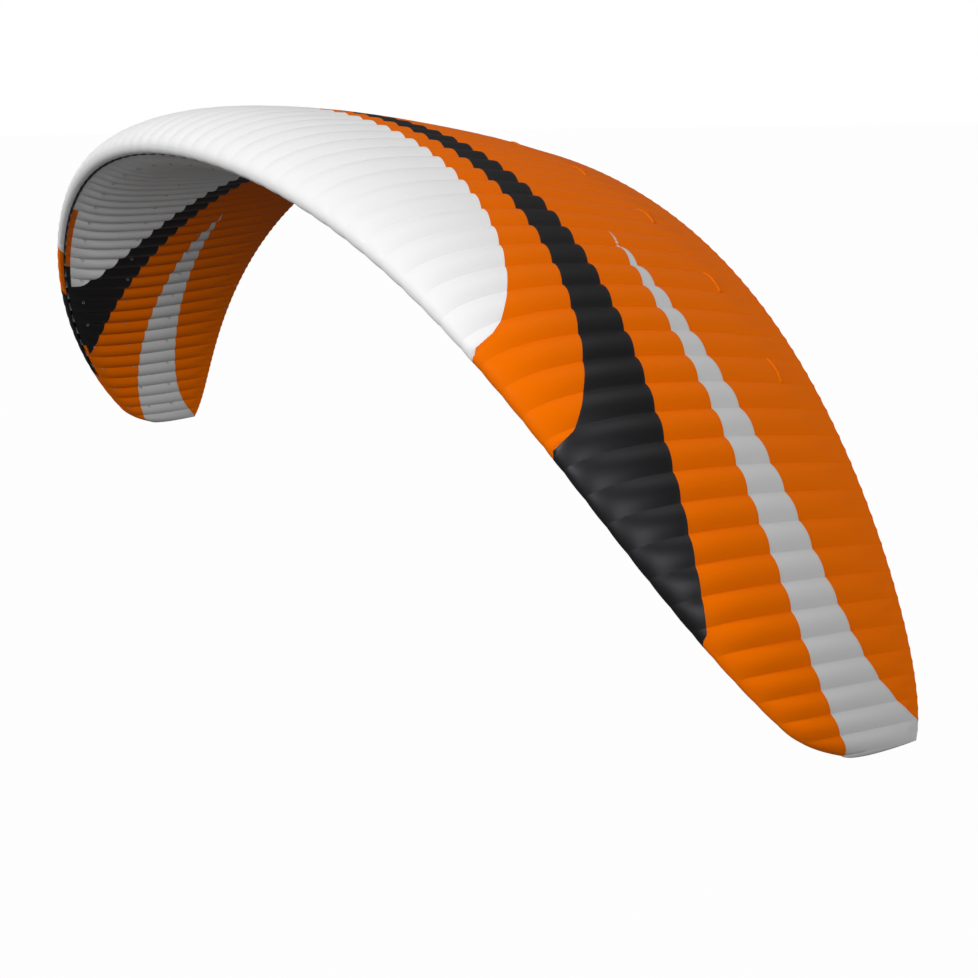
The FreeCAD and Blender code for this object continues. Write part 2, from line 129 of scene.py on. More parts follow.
def profile(w):
    x = w * w
    half = 5 * THICKNESS * (
        0.2969 * np.abs(w) - 0.126 * x - 0.3516 * x**2 + 0.2843 * x**3 - 0.1036 * x**4
    )
    m, p = CAMBER, CAMBER_PLACE
    ahead = m / p**2 * (2 * p * x - x * x)
    behind = m / (1 - p) ** 2 * (1 - 2 * p + 2 * p * x - x * x)
    dent = DENT * np.exp(-(((w - DENT_PLACE) / DENT_WIDTH) ** 2))
    return x, np.where(x < p, ahead, behind) + np.where(w < 0, -half, half) + dent


def wing(k, w, rise=0.0):
    """Points of the flat-panelled wing at rib number k and signed root w, raised outwards by rise metres."""
    k, w, rise = np.broadcast_arrays(np.asarray(k, float), np.asarray(w, float), np.asarray(rise, float))
    s = span_share(np.abs(k))
    side = np.where(k < 0, -1.0, 1.0)
    c = chord(s)
    x, z = profile(w)
    step = 1e-3
    x0, z0 = profile(w - step)
    x1, z1 = profile(w + step)
    length = np.hypot(x1 - x0, z1 - z0)
    along = c * (x - 0.25) - rise * (z1 - z0) / length
    across = c * z + rise * (x1 - x0) / length
    twist = WASHOUT * s * s
    back = along * np.cos(twist) + across * np.sin(twist)
    out = -along * np.sin(twist) + across * np.cos(twist)
    lean = slope(s)
    px = side * (np.interp(s, ARCH_S, ARCH_X) + out * np.sin(lean))
    py = SWEEP[0] * s**2 + SWEEP[1] * s**4 + SWEEP[2] * s**6 + 0.75 * tip_cut(s) + back
    pz = np.interp(s, ARCH_S, ARCH_Z) + out * np.cos(lean)
    return np.stack([px, py, pz], -1) - ORIGIN


ORIGIN = np.zeros(3)
ORIGIN = wing(0, -math.sqrt(0.1), LOOP_DROP)


def cell_width(k):
    return HALF_SPAN * (span_share(np.abs(k) + 0.5) - span_share(np.abs(k) - 0.5))


def bulge(k, w):
    """How far the inflated cell stands out of the line between its ribs."""
    k, w = np.broadcast_arrays(np.asarray(k, float), np.asarray(w, float))
    t = np.abs(k) - np.floor(np.abs(k))
    u = 2 * t - np.floor(2 * t)
    x = w * w
    whole = 4 * t * (1 - t)
    halves = 4 * u * (1 - u) * 0.5
    mini = smooth(x, 0.86, 0.93)
    shape = whole * (1 - mini) + halves * mini
    ahead = NOSE_BULGE + (UPPER_BULGE - NOSE_BULGE) * smooth(w, -0.05, 0.45)
    below = NOSE_BULGE + (LOWER_BULGE - NOSE_BULGE) * smooth(-w, 0.15, 0.45)
    share = np.where(w < 0, below, ahead)
    share = share * (1 - 0.45 * smooth(x, 0.45, 0.9)) * (1 - smooth(x, 0.9, 1.0))
    middle = np.floor(np.abs(k)) + 0.5
    return shape * share * cell_width(middle)


def cloth_point(k, w, depth=0.0):
    """Points of the inflated skin, depth metres under its outer face, with the scalloped trailing edge."""
    k, w = np.broadcast_arrays(np.asarray(k, float), np.asarray(w, float))
    u = 2 * np.abs(k) - np.floor(2 * np.abs(k))
    pull = SCALLOP_DEPTH * 4 * u * (1 - u) * smooth(w * w, 0.9, 1.0)
    shifted = np.sign(w) * np.sqrt(np.maximum(w * w - pull, 0))
    return wing(k, shifted, bulge(k, w) - depth)


# ---------------------------------------------------------------- colour boundaries, as signed roots
LAST_TURN = 0.988
STRIPE_START, LOWER_STRIPE_START, STRIPE_OPENING = 0.49, 0.51, 0.09


def falling(start, end, bend, power):
    return lambda s: start * np.maximum(0.0, 1 - (s / end) ** bend) ** power


def reaching_lip(share, end, bend, power):
    """A boundary on the upper side that comes down to the nose, and reaches the lip at the span share end."""

    def curve(t):
        return LIP + (math.sqrt(share) - LIP) * np.maximum(0.0, 1 - t**bend) ** power

    def boundary(s):
        t = np.minimum(1.0, s / end)
        straight = LIP + (curve(LAST_TURN) - LIP) * (1 - t) / (1 - LAST_TURN)
        return np.where(t < LAST_TURN, curve(t), straight)

    return boundary


def reaching_crease(share):
    return lambda s: np.minimum(CREASE, -np.sqrt(share(s)))


def rounded(share, least):
    """A boundary as a share of the chord that is left behind the rounded tip."""
    return lambda s: np.maximum(least, (share(s) * full_chord(s) - tip_cut(s)) / chord(s))


upper_middle_share = rounded(falling(0.655, 1.055, 2.8, 0.5), 0.012)
lower_middle_share = rounded(falling(0.69, 1.03, 2.9, 0.6), 0.1)


def upper_grey_share(s):
    return np.minimum(1.0, 0.625 + 0.02 * s + 0.355 * (s / 0.985) ** 38)


def lower_grey_share(s):
    return np.minimum(1.0, 0.662 + 0.338 * s**38)


def pinched(front_share, rear_share, start):
    """The front edge of a stripe that opens from a point on its rear edge."""

    def share(s):
        opening = np.clip((s - start) / STRIPE_OPENING, 0, 1) ** 0.7
        return rear_share(s) + (front_share(s) - rear_share(s)) * opening

    return share


def at(value):
    return lambda s: np.full_like(np.asarray(s, float), value)


white_rear = reaching_lip(0.43, 0.6205, 2.8, 0.226)
black_front = reaching_lip(0.49, 0.7285, 3.2, 0.249)
black_rear = reaching_lip(0.578, 0.903, 3.0, 0.335)
upper_pinched = pinched(upper_middle_share, upper_grey_share, STRIPE_START)
lower_pinched = pinched(lower_middle_share, lower_grey_share, LOWER_STRIPE_START)
lower_white_rear = reaching_crease(falling(0.56, 0.71, 2.6, 0.55))
lower_black_rear = reaching_crease(falling(0.64, 0.87, 2.6, 0.75))


def upper(share):
    return lambda s: np.sqrt(share(s))


def lower(share):
    return lambda s: -np.sqrt(share(s))


# ---------------------------------------------------------------- materials
def material(name, colour, roughness, sheen=0.0):
    made = bpy.data.materials.new(name)
    made.use_nodes = True
    shader = made.node_tree.nodes["Principled BSDF"]
    shader.inputs["Base Color"].default_value = (*colour, 1)
    shader.inputs["Roughness"].default_value = roughness
    shader.inputs["Sheen Weight"].default_value = sheen
    return made, shader


def add(tree, kind, **inputs):
    node = tree.nodes.new(kind)
    for name, value in inputs.items():
        if hasattr(node, name) and not name[0].isupper():
            setattr(node, name, value)
        else:
            node.inputs[name.replace("_", " ")].default_value = value
    return node


def maths(tree, operation, first, second=None):
    node = tree.nodes.new("ShaderNodeMath")
    node.operation = operation
    for socket, value in zip(node.inputs, (first, second)):
        if value is None:
            continue
        if isinstance(value, (int, float)):
            socket.default_value = value
        else:
            tree.links.new(value, socket)
    return node.outputs[0]


def mixed_colour(tree, share, first, second):
    """A colour between two, by a share from a socket."""
    node = tree.nodes.new("ShaderNodeMix")
    node.data_type = "RGBA"
    tree.links.new(share, node.inputs["Factor"])
    for socket, value in ((node.inputs["A"], first), (node.inputs["B"], second)):
        if isinstance(value, tuple):
            socket.default_value = (*value, 1)
        else:
            tree.links.new(value, socket)
    return node.outputs["Result"]


CELL_WIDTH = 0.16
RIPSTOP, RIPSTOP_LINE = 0.005, 0.07
THREAD_PITCH, THREAD_SHARE, THREAD_HALF_WIDTH = 0.004, 0.62, 0.0007
RIB_STITCHES, SEAM_STITCHES, SEAM_FOLD = 0.004, (0.003, 0.011), 0.014


def ripstop(name, colour, thread, gloss, roughness=0.46):
    """Coated ripstop cloth with a woven grid, stitched rib seams that pucker, and faint soiling.
    The cloth map holds the rib number across and metres along the chord."""
    made, shader = material(name, colour, roughness)
    shader.inputs["Specular IOR Level"].default_value = gloss
    brightest = max(colour)
    shader.inputs["Specular Tint"].default_value = (*(0.1 + 0.9 * c / brightest for c in colour), 1)
    tree = made.node_tree
    uv = add(tree, "ShaderNodeUVMap", uv_map="cloth")
    split = tree.nodes.new("ShaderNodeSeparateXYZ")
    tree.links.new(uv.outputs[0], split.inputs[0])
    rib, along = split.outputs[0], split.outputs[1]
    phase = maths(tree, "FRACT", rib)
    edge = maths(tree, "MINIMUM", phase, maths(tree, "SUBTRACT", 1.0, phase))
    distance = maths(tree, "MULTIPLY", edge, CELL_WIDTH)

    # woven grid: thicker threads every 5 mm both ways
    across_lines = maths(tree, "PINGPONG", maths(tree, "MULTIPLY", rib, CELL_WIDTH / RIPSTOP), 0.5)
    along_lines = maths(tree, "PINGPONG", maths(tree, "MULTIPLY", along, 1 / RIPSTOP), 0.5)
    grid = maths(
        tree,
        "MAXIMUM",
        maths(tree, "LESS_THAN", across_lines, RIPSTOP_LINE),
        maths(tree, "LESS_THAN", along_lines, RIPSTOP_LINE),
    )

    # a row of stitches beside each rib seam, and two along the panel's front and rear seams
    seam_uv = add(tree, "ShaderNodeUVMap", uv_map="seam")
    seam_split = tree.nodes.new("ShaderNodeSeparateXYZ")
    tree.links.new(seam_uv.outputs[0], seam_split.inputs[0])
    to_seam = maths(tree, "MINIMUM", seam_split.outputs[0], seam_split.outputs[1])

    def row(place, middle, run):
        offset = maths(tree, "ABSOLUTE", maths(tree, "SUBTRACT", place, middle))
        turns = maths(tree, "FRACT", maths(tree, "MULTIPLY", run, 1 / THREAD_PITCH))
        dash = maths(tree, "LESS_THAN", turns, THREAD_SHARE)
        return maths(tree, "MULTIPLY", maths(tree, "LESS_THAN", offset, THREAD_HALF_WIDTH), dash)

    run_across = maths(tree, "MULTIPLY", rib, CELL_WIDTH)
    stitch = row(distance, RIB_STITCHES, along)
    for place in SEAM_STITCHES:
        stitch = maths(tree, "MAXIMUM", stitch, row(to_seam, place, run_across))
    fold = maths(tree, "LESS_THAN", to_seam, SEAM_FOLD)

    # puckers that fade away from the seam, and a slow noise that soils the cloth and varies its roughness
    object_place = add(tree, "ShaderNodeTexCoord").outputs["Object"]
    waves = add(tree, "ShaderNodeTexNoise", Scale=26.0, Detail=3.0, Roughness=0.55)
    tree.links.new(object_place, waves.inputs["Vector"])
    from_middle = maths(tree, "SUBTRACT", 1.0, maths(tree, "MULTIPLY", edge, 2.0))
    near_seam = maths(tree, "POWER", from_middle, 3.0)
    pucker = maths(tree, "MULTIPLY", waves.outputs["Fac"], near_seam)
    soil = add(tree, "ShaderNodeTexNoise", Scale=1.7, Detail=5.0, Roughness=0.6)
    tree.links.new(object_place, soil.inputs["Vector"])

    darker = tuple(0.90 * c for c in colour)
    grid_tone = tuple(0.93 * c for c in colour)
    base = mixed_colour(tree, maths(tree, "MULTIPLY", soil.outputs["Fac"], 0.35), colour, darker)
    woven = mixed_colour(tree, maths(tree, "MULTIPLY", grid, 0.5), base, grid_tone)
    sewn = mixed_colour(tree, stitch, woven, thread)
    tree.links.new(sewn, shader.inputs["Base Color"])

    rough = maths(tree, "ADD", maths(tree, "MULTIPLY", soil.outputs["Fac"], 0.12), roughness - 0.06)
    tree.links.new(rough, shader.inputs["Roughness"])

    height = maths(
        tree,
        "ADD",
        maths(tree, "MULTIPLY", grid, 0.00004),
        maths(
            tree,
            "ADD",
            maths(tree, "MULTIPLY", pucker, 0.0022),
            maths(tree, "MULTIPLY", maths(tree, "ADD", stitch, fold), 0.0002),
        ),
    )
    bump = add(tree, "ShaderNodeBump", Strength=0.55, Distance=1.0)
    tree.links.new(height, bump.inputs["Height"])
    tree.links.new(bump.outputs[0], shader.inputs["Normal"])
    return made


def woven(name, colour, scale, roughness):
    """Plain woven tape or cord, or hard cloth: fine crossed threads as bump and tone."""
    made, shader = material(name, colour, roughness, sheen=0.1)
    tree = made.node_tree
    place = add(tree, "ShaderNodeTexCoord").outputs["Object"]
    noise = add(tree, "ShaderNodeTexNoise", Scale=scale, Detail=4.0)
    checks = add(tree, "ShaderNodeTexVoronoi", Scale=scale * 6)
    for node in (noise, checks):
        tree.links.new(place, node.inputs["Vector"])
    tone = mixed_colour(tree, noise.outputs["Fac"], tuple(0.86 * c for c in colour), colour)
    tree.links.new(tone, shader.inputs["Base Color"])
    bump = add(tree, "ShaderNodeBump", Strength=0.3, Distance=0.0004)
    tree.links.new(checks.outputs["Distance"], bump.inputs["Height"])
    tree.links.new(bump.outputs[0], shader.inputs["Normal"])
    return made


WHITE, ORANGE = (0.83, 0.83, 0.83), (0.82, 0.150, 0.0)
BLACK, GREY = (0.004, 0.004, 0.0043), (0.60, 0.60, 0.60)
CLOTHS = {
    "white": (ripstop("white_ripstop", WHITE, (0.75, 0.75, 0.75), 0.2), "white_cloth"),
    "orange": (ripstop("orange_ripstop", ORANGE, (0.7, 0.12, 0.0), 0.06), "orange_cloth"),
    "black": (ripstop("black_ripstop", BLACK, (0.02, 0.02, 0.02), 0.5, 0.5), "black_cloth"),
    "grey": (ripstop("grey_ripstop", GREY, (0.5, 0.5, 0.5), 0.2), "grey_cloth"),
}
RIB_CLOTH = woven("hard_rib_cloth", (0.4, 0.4, 0.41), 60, 0.6)
TAPE = woven("tension_tape", (0.72, 0.72, 0.70), 200, 0.7)
CORD = woven("loop_cord", (0.3, 0.3, 0.3), 500, 0.75)
ROD = woven("nylon_rod", (0.2, 0.2, 0.2), 90, 0.35)
MINI = woven("mini_rib_cloth", (0.4, 0.4, 0.41), 60, 0.6)


# ---------------------------------------------------------------- sheets
def make_mesh(name, points, faces, look, uv=None):
    mesh = bpy.data.meshes.new(name)
    mesh.from_pydata([tuple(p) for p in points], [], faces)
    mesh.materials.append(look)
    for map_name, values in (uv or {}).items():
        layer = mesh.uv_layers.new(name=map_name)
        loops = np.empty(len(mesh.loops), np.int32)
        mesh.loops.foreach_get("vertex_index", loops)
        layer.data.foreach_set("uv", np.asarray(values, np.float32)[loops].ravel())
    mesh.shade_smooth()
    made = bpy.data.objects.new(name, mesh)
    bpy.context.scene.collection.objects.link(made)
    return made


def sharpen(mesh, pairs):
    """Marks the edges between these pairs of vertices as sharp, so that each cell shades on its own."""
    wanted = {tuple(sorted(p)) for p in pairs}
    ends = np.empty(len(mesh.edges) * 2, np.int32)
    mesh.edges.foreach_get("vertices", ends)
    flags = [tuple(sorted(e)) in wanted for e in ends.reshape(-1, 2).tolist()]
    attribute = mesh.attributes.new("sharp_edge", "BOOLEAN", "EDGE")
    attribute.data.foreach_set("value", flags)


class Sheet:
    """A grid of cloth from one rib to another, between two edge functions of the span share."""

    def __init__(self, first, last, front, rear, ridge=0.0):
        columns = int(round((last - first) * COLUMNS)) + 1
        self.k = np.linspace(first, last, columns)
        s = span_share(np.abs(self.k))
        self.front, self.rear = front(s), rear(s)
        widest = float(np.max(np.abs(self.rear - self.front)))
        least = LEAST_FOLD_ROWS if ridge else LEAST_ROWS
        rows = max(least, int(math.ceil(ROWS_FULL_CHORD * widest))) + 1
        share = np.linspace(0, 1, rows)
        self.w = self.front[:, None] + (self.rear - self.front)[:, None] * share[None]
        self.kk = np.repeat(self.k[:, None], rows, 1)
        rise = ridge * (FOLD_LIFT + np.sin(math.pi * share))[None]
        self.outer = cloth_point(self.kk, self.w, -rise)
        self.inner = cloth_point(self.kk, self.w, CLOTH - rise)

    def seam_distances(self):
        """Metres along the chord to the front and to the rear edge of the panel."""
        runs = np.linalg.norm(np.diff(self.outer, axis=1), axis=-1)
        front = np.concatenate([np.zeros((len(runs), 1)), np.cumsum(runs, 1)], 1)
        return np.stack([front, front[:, -1:] - front], -1)

    def area(self):
        a = self.outer[1:, 1:] - self.outer[:-1, :-1]
        b = self.outer[1:, :-1] - self.outer[:-1, 1:]
        return float(np.linalg.norm(np.cross(a, b), axis=-1).sum() / 2)

    def lengths(self):
        chordwise = np.linalg.norm(np.diff(self.outer, axis=1), axis=-1).sum(1).max()
        spanwise = np.linalg.norm(np.diff(self.outer, axis=0), axis=-1).sum(0).max()
        return float(chordwise), float(spanwise)


NOTHING = 1e-4


def cloth(name, grids, colour, nodes):
    """One sewn panel, made of one or more grids that share no edge, as a closed thin sheet."""
    look, slot = CLOTHS[colour]
    points, faces, flat_uv, seam_uv, sharp, stations = [], [], [], [], [], []
    for g in grids:
        n, m = g.w.shape
        start = sum(len(p) for p in points)
        wide = np.abs(g.rear - g.front) > NOTHING
        used = wide[:-1] | wide[1:]
        flip = bool(np.mean(g.rear - g.front) < 0)
        index = np.arange(n * m).reshape(n, m) + start
        under = index + n * m
        for j in range(n - 1):
            if not used[j]:
                continue
            for i in range(m - 1):
                quad = [index[j, i], index[j + 1, i], index[j + 1, i + 1], index[j, i + 1]]
                back = [under[j, i + 1], under[j + 1, i + 1], under[j + 1, i], under[j, i]]
                faces += [quad[::-1], back[::-1]] if flip else [quad, back]
            for i, order in ((0, 1), (m - 1, -1)):
                rim = [index[j, i], under[j, i], under[j + 1, i], index[j + 1, i]][::order]
                faces.append(rim[::-1] if flip else rim)
            for end, order in ((j, -1), (j + 1, 1)):
                last = end == 0 or end == n - 1 or not (used[end - 1] and used[end])
                if last:
                    for i in range(m - 1):
                        rim = [index[end, i], under[end, i], under[end, i + 1], index[end, i + 1]][::order]
                        faces.append(rim[::-1] if flip else rim)
            if abs(g.k[j] - round(g.k[j])) < 1e-6:
                sharp += [(index[j, i], index[j, i + 1]) for i in range(m - 1)]
                sharp += [(under[j, i], under[j, i + 1]) for i in range(m - 1)]
        points += [g.outer.reshape(-1, 3), g.inner.reshape(-1, 3)]
        along = np.sign(g.w) * g.w**2 * chord(span_share(np.abs(g.kk)))
        flat = np.stack([np.abs(g.kk), along], -1).reshape(-1, 2)
        flat_uv += [flat, flat]
        seams = g.seam_distances().reshape(-1, 2)
        seam_uv += [seams, seams]
        stations += [np.stack([g.kk, g.w], -1).reshape(-1, 2)] * 2
    maps = {"cloth": np.concatenate(flat_uv), "seam": np.concatenate(seam_uv)}
    made = make_mesh(name, np.concatenate(points), faces, look, maps)
    sharpen(made.data, sharp)
    made.data.attributes.new("station", "FLOAT2", "POINT").data.foreach_set(
        "vector", np.concatenate(stations).astype(np.float32).ravel()
    )
    clean(made)
    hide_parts(*nodes)
    chordwise = max(g.lengths()[0] for g in grids)
    spanwise = sum(g.lengths()[1] for g in grids)
    area = sum(g.area() for g in grids)
    return made


SHARP_ANGLE = 0.8


def clean(made):
    """Joins points that fall together where a panel runs out to nothing, and sharpens the rims."""
    mesh = bmesh.new()
    mesh.from_mesh(made.data)
    bmesh.ops.remove_doubles(mesh, verts=mesh.verts, dist=2e-5)
    bmesh.ops.dissolve_degenerate(mesh, dist=1e-5, edges=mesh.edges)
    for e in mesh.edges:
        if e.calc_face_angle(0.0) > SHARP_ANGLE:
            e.smooth = False
    loose = [v for v in mesh.verts if not v.link_faces]
    bmesh.ops.delete(mesh, geom=loose, context="VERTS")
    mesh.to_mesh(made.data)
    mesh.free()


def bend(made, side_name, number, stations):
    """Bakes the piece's placement into its mesh. The hinge and edge points of its flap are found, but the
    piece is not bent to its flap.
    """
    first, last = FLAP_RIBS[number - 1], FLAP_RIBS[number]
    side = 1 if side_name == "right" else -1
    middle = side * (first + last) / 2
    start = wing(middle, math.sqrt(HINGE))
    end = wing(middle, 1.0)
    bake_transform(made)


def stations_of(made):
    values = np.empty(len(made.data.vertices) * 2, np.float32)
    made.data.attributes["station"].data.foreach_get("vector", values)
    return values.reshape(-1, 2)


SIDES = (("right", 1), ("left", -1))
LAST = HALF_CELLS


def span_range(side, first, last):
    return (first, last) if side > 0 else (-last, -first)


def sheet(side, first, last, front, rear):
    return Sheet(*span_range(side, first, last), front, rear)


def cross_folds(side, wing_face, first, last):
    """The sewn cross folds of some cells, where each cell divides into two narrow ones."""
    halves = (-FOLD_HALF_WIDTH, FOLD_HALF_WIDTH)
    edges = [at(wing_face * math.sqrt(FOLD_PLACE + half)) for half in halves]
    cells = [k for k in FOLD_CELLS if first <= k < last]
    return [Sheet(*span_range(side, k, k + 1), *edges, ridge=FOLD_HEIGHT) for k in cells]


def both(name):
    return [f"{name}_right", f"{name}_left"]


# ---------------------------------------------------------------- camera, as the photograph's view
CAMERA_AZIMUTH, CAMERA_ELEVATION = math.radians(61.37), math.radians(12.33)
CAMERA_PLACE = np.array([1.875, -0.724, 0.061]) * HALF_SPAN - ORIGIN
camera_data = bpy.data.cameras.new("camera")
camera_data.sensor_width = 36
camera_data.lens = 68.0
camera_data.clip_end = 1000
camera = bpy.data.objects.new("camera", camera_data)
camera.location = CAMERA_PLACE
camera.rotation_euler = (math.pi / 2 - CAMERA_ELEVATION, 0, CAMERA_AZIMUTH)
bpy.context.scene.collection.objects.link(camera)
bpy.context.scene.camera = camera

# ---------------------------------------------------------------- panels
END, LOWER_END = at(1.0), at(-1.0)
ACROSS = (
    ("upper_white", 21, at(LIP), white_rear, "white", ["upper_panel_white"]),
    ("upper_orange_front", 25, white_rear, black_front, "orange", both("upper_panel_orange_front")),
    ("upper_black", 32, black_front, black_rear, "black", both("upper_stripe_black")),
    ("upper_orange_centre", 3, black_rear, END, "orange", []),
    ("lower_white", 23, at(CREASE), lower_white_rear, "white", ["lower_panel_white"]),
    ("lower_black", 30, lower_white_rear, lower_black_rear, "black", both("lower_stripe_black")),
    ("lower_orange_centre", 3, lower_black_rear, LOWER_END, "orange", []),
    ("nose_white", 15, at(MOUTH), at(CREASE), "white", ["nose_strip_white"]),
)
fixed = [
    cloth(name, [Sheet(-last, last, front, rear)], colour, nodes)
    for name, last, front, rear, colour, nodes in ACROSS
]
upper_middle_rear, upper_stripe_rear = upper(upper_pinched), upper(upper_grey_share)
lower_middle_rear, lower_stripe_rear = lower(lower_pinched), lower(lower_grey_share)
HALVES = (
    ("upper_orange_middle", "orange", "upper_panel_orange_middle", 16, LAST, black_rear, upper_middle_rear),
    ("upper_grey", "grey", "upper_stripe_grey", 15, LAST, upper_middle_rear, upper_stripe_rear),
    ("upper_orange_tip", "orange", "upper_panel_orange_rear", 27, LAST, upper_stripe_rear, END),
    (
        "lower_orange_middle", "orange", "lower_panel_orange_middle",
        16, LAST, lower_black_rear, lower_middle_rear,
    ),
    ("lower_grey", "grey", "lower_stripe_grey", 16, LAST, lower_middle_rear, lower_stripe_rear),
    ("lower_orange_tip", "orange", "lower_panel_orange_rear", 27, LAST, lower_stripe_rear, LOWER_END),
    ("nose_orange", "orange", "nose_strip_orange", 15, 21, at(MOUTH), at(CREASE)),
    ("nose_black", "black", "nose_strip_black", 21, 28, at(MOUTH), at(CREASE)),
)
for name, side in SIDES:
    for piece, colour, node, first, last, front, rear in HALVES:
        grids = [sheet(side, first, last, front, rear)]
        fixed.append(cloth(f"{piece}_{name}", grids, colour, [f"{node}_{name}"]))
    grids = [
        sheet(side, 28, CLOSED_NOSE_RIB, at(MOUTH), at(CREASE)),
        sheet(side, CLOSED_NOSE_RIB, LAST, at(LIP), at(CREASE)),
    ]
    fixed.append(cloth(f"nose_tip_{name}", grids, "orange", [f"nose_strip_tip_{name}"]))
    for number in (1, 2, 3):
        first, last = FLAP_RIBS[number - 1 : number + 1]
        for layer, start, front, behind, end in (
            ("upper", 16, black_rear, upper_stripe_rear, END),
            ("lower", 16, lower_black_rear, lower_stripe_rear, LOWER_END),
        ):
            grids = []
            if first < start:
                grids.append(sheet(side, first, min(start, last), front, end))
            if last > start:
                grids.append(sheet(side, max(first, start), last, behind, end))
            grids += cross_folds(side, 1 if layer == "upper" else -1, first, last)
            node = f"flap_{layer}_skin_{name}_{number}"
            made = cloth(f"{layer}_orange_rear_{name}_{number}", grids, "orange", [node])
            bend(made, name, number, stations_of(made))
for made in fixed:
    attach(made, "canopy")

# ---------------------------------------------------------------- closed tips
TIP_ROWS, TIP_COLUMNS, TIP_FRONT = 34, 11, 0.0005
TIP_SWELL, TIP_SWELL_POWER = 0.32, 0.8


def tip_cap(name, side):
    """The grey panel that closes a wing tip, bulged like the cells."""
    k = side * LAST
    share = np.linspace(0, 1, TIP_ROWS) ** 1.6
    w = np.sqrt(TIP_FRONT + (1 - TIP_FRONT) * share)
    across = np.linspace(0, 1, TIP_COLUMNS)
    top, bottom = wing(k, w), wing(k, -w)
    height = np.linalg.norm(top - bottom, axis=-1)
    lean = slope(1.0)
    outward = np.array([side * math.cos(lean), 0, -math.sin(lean)])
    layers = []
    for depth in (0.0, CLOTH):
        arc = (4 * across * (1 - across))[None] ** TIP_SWELL_POWER
        swell = (TIP_SWELL * height)[:, None] * arc - depth
        grid = top[:, None] * (1 - across)[None, :, None] + bottom[:, None] * across[None, :, None]
        layers.append(grid + swell[..., None] * outward)
    n, m = len(w), len(across)
    index = np.arange(n * m).reshape(n, m)
    faces = []
    for i in range(n - 1):
        for j in range(m - 1):
            quad = [index[i, j], index[i, j + 1], index[i + 1, j + 1], index[i + 1, j]]
            faces.append(quad if side < 0 else quad[::-1])
            back = [q + n * m for q in quad]
            faces.append(back[::-1] if side < 0 else back)
    rim = [(0, j) for j in range(m)] + [(i, m - 1) for i in range(1, n)]
    rim += [(n - 1, j) for j in range(m - 2, -1, -1)] + [(i, 0) for i in range(n - 2, 0, -1)]
    for (i0, j0), (i1, j1) in zip(rim, rim[1:] + rim[:1]):
        quad = [index[i0, j0], index[i1, j1], index[i1, j1] + n * m, index[i0, j0] + n * m]
        faces.append(quad[::-1] if side < 0 else quad)
    look, slot = CLOTHS["grey"]
    points = np.concatenate([g.reshape(-1, 3) for g in layers])
    blank = np.tile([[0.5, 0.5]], (len(points), 1))
    made = make_mesh(name, points, faces, look, {"cloth": blank, "seam": blank})
    clean(made)
    return made


for name, side in SIDES:
    cap = tip_cap(f"tip_panel_{name}", side)
    if side > 0:
        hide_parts("tip_ribs")
    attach(cap, "canopy")


# ---------------------------------------------------------------- ribs and loops of the trailing edge
RING_STEPS, CORD_STEPS = 20, 8


def ring_mesh(centre, axis, radius, cord):
    """A cord bent into a ring."""
    axis = axis / np.linalg.norm(axis)
    first = np.cross(axis, [0.0, 1.0, 0.0])
    first /= np.linalg.norm(first)
    second = np.cross(axis, first)
    around = np.linspace(0, 2 * math.pi, RING_STEPS, endpoint=False)
    section = np.linspace(0, 2 * math.pi, CORD_STEPS, endpoint=False)
    points = []
    for a in around:
        out = first * math.cos(a) + second * math.sin(a)
        for b in section:
            points.append(centre + out * (radius + cord * math.cos(b)) + axis * cord * math.sin(b))
    faces = []
    for i in range(RING_STEPS):
        here, there = i * CORD_STEPS, (i + 1) % RING_STEPS * CORD_STEPS
        for j in range(CORD_STEPS):
            beside = (j + 1) % CORD_STEPS
            faces.append((there + j, there + beside, here + beside, here + j))
    return points, faces


HEM = 0.02
MINI_THICK, MINI_ROWS, MINI_DEPTH, MINI_GAP = 0.001, 7, 0.004, 0.003
BRAKE_LOOP_RADIUS, BRAKE_LOOP_CORD, BRAKE_LOOP_DROP = 0.007, 0.0015, 0.0088


def four_corners(start, n, i):
    """The four points of row i in a mini-rib that begins at point start and has n rows."""
    return start + i, start + n + i, start + 2 * n + i, start + 3 * n + i


